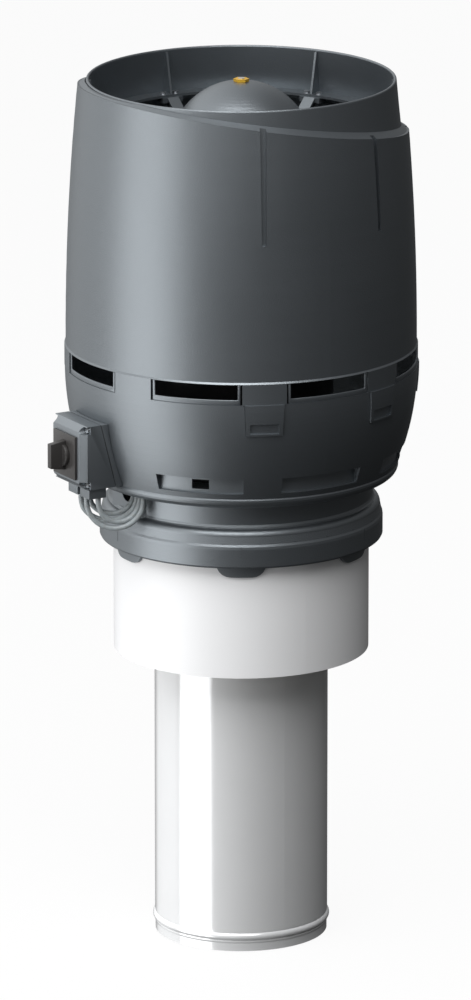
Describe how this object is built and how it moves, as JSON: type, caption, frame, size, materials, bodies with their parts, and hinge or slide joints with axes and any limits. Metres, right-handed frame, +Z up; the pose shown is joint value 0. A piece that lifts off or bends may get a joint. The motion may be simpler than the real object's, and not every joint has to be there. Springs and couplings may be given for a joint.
{
  "type": "roof exhaust fan",
  "caption": "Roof exhaust fan with steel duct spigot, insulated outer pipe, moulded bowl and hood, top outlet, centrifugal impeller and a turning safety switch on its side.",
  "frame": {"origin": "centre of the duct spigot's lower end", "axes": "+Z up along the duct and impeller axis, -Y towards the safety switch"},
  "size_m": [0.4023, 0.4511, 1.003],
  "materials": {
    "galvanised_steel": "bright galvanised sheet, rolled and spiral free",
    "white_pipe": "smooth white plastic pipe",
    "insulation": "dense fibre insulation, end face seen",
    "grey_moulding": "dark blue-grey moulded plastic, fine satin grain",
    "switch_moulding": "dark grey moulded plastic",
    "switch_black": "warm black plastic",
    "yellow_zinc": "yellow passivated steel nut",
    "zinc_steel": "zinc plated steel fasteners",
    "rubber": "black rubber",
    "inner_plastic": "black moulded plastic",
    "cast_aluminium": "cast aluminium",
    "lamination": "stacked steel laminations and magnets",
    "winding_copper": "enamelled copper wire",
    "cable_grey": "grey-blue sheathed cable"
  },
  "bodies": {
    "housing": {"duct_tube": "galvanised_steel", "casing_pipe": "white_pipe", "pipe_insulation": "insulation", "base_collar": "grey_moulding", "lower_bowl": "grey_moulding", "drain_frames": "grey_moulding", "hood_shell": "grey_moulding", "outlet_ring": "grey_moulding", "motor_carrier": "grey_moulding", "dome_cover": "grey_moulding", "dome_nut": "yellow_zinc", "dome_stud": "zinc_steel", "duct_gasket": "rubber", "inlet_duct": "inner_plastic", "inlet_nozzle": "galvanised_steel", "nozzle_screws": "zinc_steel", "motor_plate": "cast_aluminium", "motor_controller": "inner_plastic", "stator_core": "lamination", "stator_windings": "winding_copper", "bearing_outer_rings": "zinc_steel", "motor_screws": "zinc_steel", "carrier_screws": "zinc_steel", "bowl_screws": "zinc_steel", "latch_screws": "zinc_steel", "switch_base": "switch_moulding", "switch_lid": "switch_moulding", "lid_gasket": "rubber", "lid_screws": "zinc_steel", "switch_plate": "switch_black", "switch_block": "switch_black", "gland_left": "switch_moulding", "gland_right": "switch_moulding", "cable_grommets": "rubber", "cable_left": "cable_grey", "cable_back": "cable_grey", "cable_inner": "cable_grey", "cable_outer": "cable_grey", "motor_lead": "cable_grey"},
    "impeller": {"rotor_shaft": "zinc_steel", "bearing_inner_rings": "zinc_steel", "rotor_can": "lamination", "rotor_magnets": "lamination", "impeller_backplate": "inner_plastic", "impeller_blades": "inner_plastic", "impeller_shroud": "inner_plastic", "impeller_screws": "zinc_steel"},
    "switch_handle": {"switch_spindle": "zinc_steel", "switch_knob": "switch_black"}
  },
  "joints": [
    {"name": "impeller_spin", "type": "hinge", "parent": "housing", "child": "impeller", "pos_m": [0, 0, 0.84], "axis": [0, 0, 1], "continuous": true},
    {"name": "switch_knob_turn", "type": "hinge", "parent": "housing", "child": "switch_handle", "pos_m": [0, -0.228, 0.5935], "axis": [0, -1, 0], "range_deg": [0, 90]}
  ]
}
